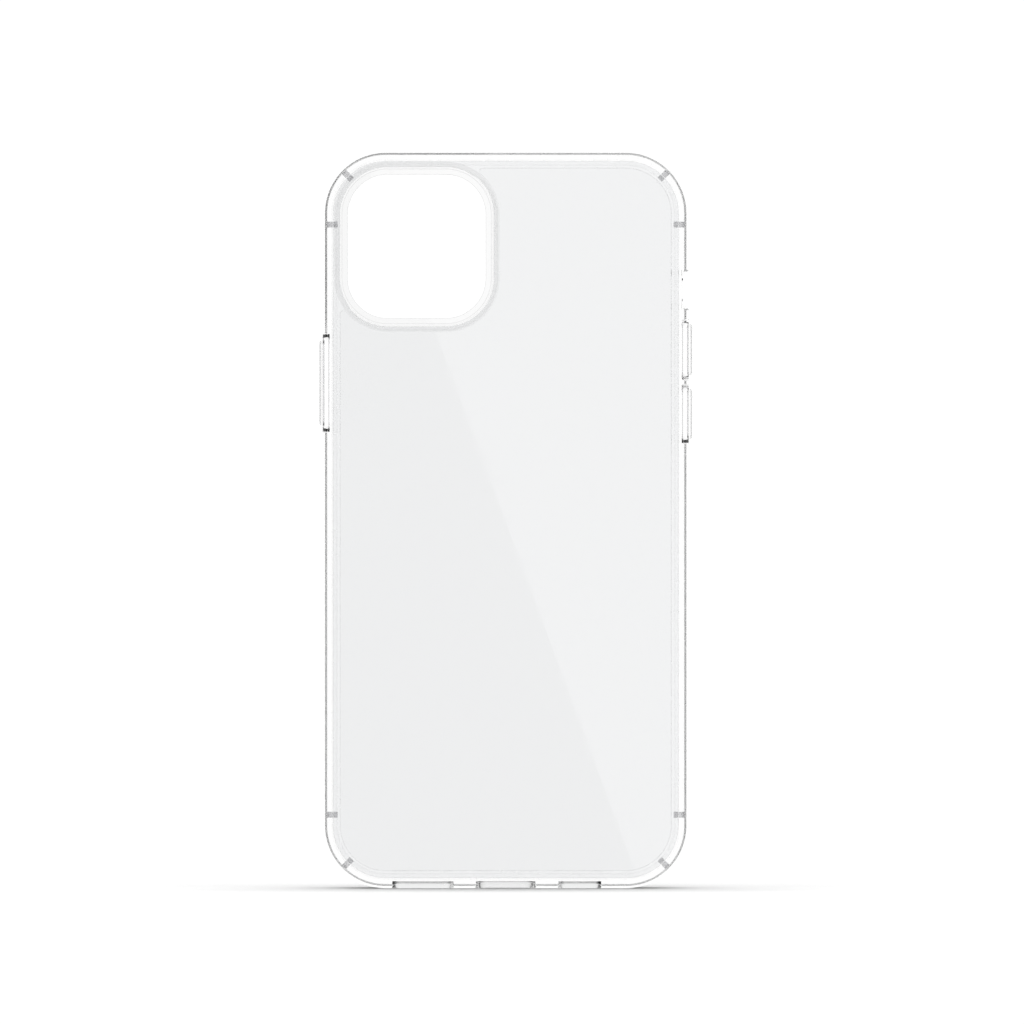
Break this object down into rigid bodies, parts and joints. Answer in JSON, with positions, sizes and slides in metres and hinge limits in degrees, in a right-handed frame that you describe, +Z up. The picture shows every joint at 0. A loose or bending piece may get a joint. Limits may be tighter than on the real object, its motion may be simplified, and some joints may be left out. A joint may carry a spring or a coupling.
{
  "type": "phone case",
  "caption": "Clear protective case for a flat-sided phone: hard back plate in a soft bumper with raised camera guard, side pads, mute opening and bottom ports.",
  "frame": {"origin": "middle of the bottom edge, so that the case is upright on Z = 0, as the picture shows it", "axes": "+Z up the length of the case, +X towards the volume pads, -Y out of the back, +Y out of the screen side"},
  "size_m": [0.083, 0.0118, 0.1643],
  "materials": {
    "hard_plate": "clear, very slightly grey, polished hard plastic with a faint sheen",
    "soft_bumper": "clear, polished soft plastic",
    "pads": "clear, polished soft plastic, thicker",
    "webs": "clear, thin, flexible soft plastic"
  },
  "bodies": {
    "case_body": {"back_panel": "hard_plate", "bumper_frame": "soft_bumper", "camera_ring": "soft_bumper", "power_button_web": "webs", "volume_up_web": "webs", "volume_down_web": "webs"},
    "power_key": {"power_button": "pads"},
    "volume_up_key": {"volume_up_button": "pads"},
    "volume_down_key": {"volume_down_button": "pads"}
  },
  "joints": [
    {"name": "power_press", "type": "slide", "parent": "case_body", "child": "power_key", "axis": [1, 0, 0], "range_m": [0, 0.0004], "stiffness_N_per_m": 500, "deforming": ["power_button_web"]},
    {"name": "volume_up_press", "type": "slide", "parent": "case_body", "child": "volume_up_key", "axis": [-1, 0, 0], "range_m": [0, 0.0004], "stiffness_N_per_m": 500, "deforming": ["volume_up_web"]},
    {"name": "volume_down_press", "type": "slide", "parent": "case_body", "child": "volume_down_key", "axis": [-1, 0, 0], "range_m": [0, 0.0004], "stiffness_N_per_m": 500, "deforming": ["volume_down_web"]}
  ]
}
